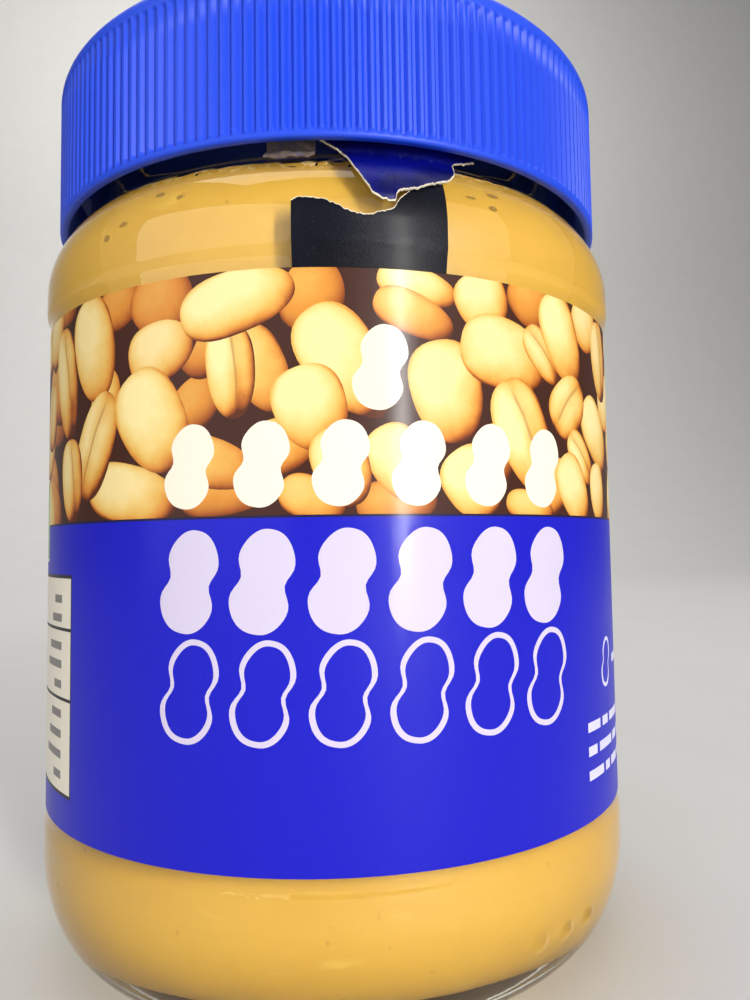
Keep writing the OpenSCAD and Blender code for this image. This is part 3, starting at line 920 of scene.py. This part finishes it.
rim_in = LID_R - CROWN_W - RIM_W
lid_profile = (
    [(0.5, LID_Z1 - RECESS), (10, LID_Z1 - RECESS), (20, LID_Z1 - RECESS)]
    + [(rim_in - 0.75, LID_Z1 - RECESS), (rim_in - 0.6, LID_Z1 - RECESS + 0.03)]
    + [(rim_in - 0.45, LID_Z1 - RECESS + 0.12), (rim_in - 0.15, LID_Z1 - 0.12)]
    + [(rim_in, LID_Z1 - 0.03), (rim_in + 0.2, LID_Z1)]
    + quarter(LID_R - CROWN_W, LID_Z1 - CROWN_H, CROWN_W, CROWN_H, 90, 0, 12)
    + [(LID_R, RIB_Z1 + 0.15), (LID_R, RIB_Z1), (LID_R, RIB_Z1 - 0.15), (LID_R, RIB_Z1 - 0.4)]
    + spread(RIB_Z1 - 0.4, RIB_Z0 + 0.6, 5, LID_R)
    + [(LID_R, RIB_Z0 + 0.6), (LID_R, RIB_Z0 + 0.3), (LID_R, RIB_Z0 + 0.1), (LID_R, RIB_Z0)]
    + [(LID_R, LID_Z0 + 0.3), (LID_R - 0.09, LID_Z0 + 0.09), (LID_R - 0.3, LID_Z0)]
    + [(LID_R - EDGE_T + 0.15, LID_Z0), (LID_R - EDGE_T, LID_Z0 + 0.1)]
    + [(SKIRT_IN_R + 0.1, LID_Z0 + EDGE_LEAD_H - 0.2), (SKIRT_IN_R, LID_Z0 + EDGE_LEAD_H + 0.2)]
    + [(SKIRT_IN_R, 93), (SKIRT_IN_R, LUG_Z - 1.2)]
    + [(SKIRT_IN_R, LUG_Z - 0.9), (SKIRT_IN_R, LUG_Z - 0.4), (SKIRT_IN_R, LUG_Z + 0.4)]
    + [(SKIRT_IN_R, LUG_Z + 0.9), (SKIRT_IN_R, LUG_Z + 1.2), (SKIRT_IN_R, CEILING_Z - 0.6)]
    + [(SKIRT_IN_R - 0.2, CEILING_Z - 0.15), (SKIRT_IN_R - 0.6, CEILING_Z)]
    + [(20, CEILING_Z), (0.5, CEILING_Z)]
)
lid = turned_piece("screw_lid", lid_profile, LID_SIDES)


def rib_column(place):
    turn = math.degrees(math.atan2(place.y, place.x)) + 360
    return round(turn * LID_SIDES / 360) % RIB_COLUMNS


for below, above, depth in RIB_STEPS:
    choose(lid, lambda place: (RIB_Z0 + below) * MM < place.z < (RIB_Z1 - above) * MM
           and place.xy.length > (LID_R - 0.3) * MM and rib_column(place) in (1, 2))
    scale = (LID_R - depth) / LID_R
    bpy.ops.transform.resize(value=(scale, scale, 1), center_override=(0, 0, 0))

choose(lid, lambda place: abs(place.z / MM - LUG_Z) < 0.5
       and abs(place.xy.length / MM - SKIRT_IN_R) < 0.1
       and abs((azimuth(place) + 360) % 60 - 30) < 4)
scale = (NECK_R + 0.2) / SKIRT_IN_R
bpy.ops.transform.resize(value=(scale, scale, 1), center_override=(0, 0, 0))

blue_plastic = Finish("blue_plastic", {
    "Roughness": 0.4,
    "IOR": 1.5,
    "Specular IOR Level": 0.35,
})
flow = blue_plastic.noise(blue_plastic.stretched((1, 1, 0.3)), 60, 3)
satin = blue_plastic.noise(blue_plastic.place(), 4000, 3, 0.6)
scuffs = blue_plastic.noise(blue_plastic.stretched((1, 1, 5)), 260, 4, 0.7)
lid_colour = blue_plastic.blend(flow, ink(19, 60, 196), ink(26, 70, 210))
scuffed = blue_plastic.step(scuffs, 0.66, 0.8)
lid_colour = blue_plastic.blend(scuffed * 0.18, lid_colour, ink(96, 124, 236))
blue_plastic.vary("Base Color", lid_colour)
blue_plastic.vary("Roughness", 0.4 + flow * 0.1 + scuffed * 0.12)
blue_plastic.bump(satin * 0.5 + scuffed * 0.25 + flow * 0.8, 0.04, 0.5)
finish_piece(lid, blue_plastic.material, 50)
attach(lid, "root")
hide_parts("lid")


# ----------------------------------------------------------------------------------------
# Studio. A plain pale floor that curves up into a backdrop, soft area lights, and the camera
# close in front of the jar, a little to its left and below the middle, tilted up slightly.

STUDIO_SIZE = 6
STUDIO_WIDER = 4
STUDIO_FRONT = 6
WALL_Y = 1.8
WALL_H = 3
WALL_ROUND = 0.9
NEAR_EDGE = STUDIO_SIZE / 2 - 0.1

bpy.ops.object.select_all(action="DESELECT")
bpy.ops.mesh.primitive_plane_add(size=STUDIO_SIZE, location=(0, 0, 0))
floor = bpy.context.object
floor.name = "floor"
bpy.ops.object.mode_set(mode="EDIT")
bpy.ops.transform.resize(value=(STUDIO_WIDER, 1, 1))
choose(floor, lambda place: place.y < -NEAR_EDGE)
bpy.ops.transform.translate(value=(0, -STUDIO_FRONT, 0))
choose(floor, lambda place: place.y > NEAR_EDGE)
bpy.ops.transform.translate(value=(0, WALL_Y - STUDIO_SIZE / 2, 0))
bpy.ops.mesh.extrude_region_move(TRANSFORM_OT_translate={"value": (0, 0, WALL_H)})
choose(floor, lambda place: place.y > WALL_Y - 0.1 and place.z < 0.1)
bpy.ops.mesh.bevel(offset=WALL_ROUND, segments=24, affect="EDGES")
bpy.ops.mesh.select_all(action="SELECT")
bpy.ops.mesh.normals_make_consistent(inside=True)
pale_floor = Finish("pale_floor", {"Roughness": 0.7})
paper_tone = pale_floor.noise(pale_floor.place(), 30, 3)
pale_floor.vary("Base Color", pale_floor.blend(paper_tone, (0.60, 0.59, 0.57), (0.64, 0.63, 0.61)))
finish_piece(floor, pale_floor.material, 60)

world = bpy.data.worlds.new("studio")
world.use_nodes = True
world.node_tree.nodes["Background"].inputs["Color"].default_value = (0.93, 0.96, 1.0, 1)
world.node_tree.nodes["Background"].inputs["Strength"].default_value = 0.22
bpy.context.scene.world = world


def softbox(name, place, aim, width, height, power, colour):
    """A soft area light at a place in metres, turned to its aim."""
    bpy.ops.object.light_add(type="AREA", location=place)
    lamp = bpy.context.object
    lamp.name = name
    lamp.data.shape = "RECTANGLE"
    lamp.data.size = width
    lamp.data.size_y = height
    lamp.data.energy = power
    lamp.data.color = colour
    lamp.rotation_euler = (Vector(aim) - Vector(place)).to_track_quat("-Z", "Y").to_euler()


softbox("key_light", (0.62, -1.0, 0.6), (0, 0, 0.06), 1.5, 1.2, 3.7, (1.0, 0.97, 0.92))
softbox("streak_light", (0.21, -0.66, 0.20), (0, 0, 0.05), 0.05, 0.36, 4.6, (1.0, 0.98, 0.95))
softbox("side_light", (-1.0, -0.8, 0.45), (0, 0, 0.05), 1.5, 1.2, 7.8, (0.97, 0.98, 1.0))
softbox("top_light", (0.0, 0.2, 1.1), (0, 0, 0.06), 1.0, 1.0, 6, (1.0, 1.0, 1.0))
softbox("backdrop_light", (0.0, 0.8, 1.4), (0, 1.8, 0.7), 1.2, 0.6, 14, (1.0, 0.99, 0.97))

EYE = (-0.01345, -0.10938, 0.04775)
SENSOR_MM = 36
FOCAL_SHARE = 0.775
yaw, pitch, roll = math.radians(10.04), math.radians(3.43), -0.0142
level = Vector((math.cos(yaw), -math.sin(yaw), 0))
ahead = Vector((math.sin(yaw), math.cos(yaw), 0))
forward = ahead * math.cos(pitch) + Vector((0, 0, math.sin(pitch)))
upward = level.cross(forward)
right_side = level * math.cos(roll) + upward * math.sin(roll)
upper_side = upward * math.cos(roll) - level * math.sin(roll)
view = Matrix((right_side, upper_side, -forward)).transposed().to_4x4()
view.translation = EYE
lens = bpy.data.cameras.new("camera")
lens.sensor_width = SENSOR_MM
lens.lens = FOCAL_SHARE * SENSOR_MM
lens.clip_start = 0.005
lens.clip_end = 20
camera = bpy.data.objects.new("camera", lens)
bpy.context.collection.objects.link(camera)
camera.matrix_world = view
bpy.context.scene.camera = camera
bpy.context.scene.view_settings.view_transform = "Standard"
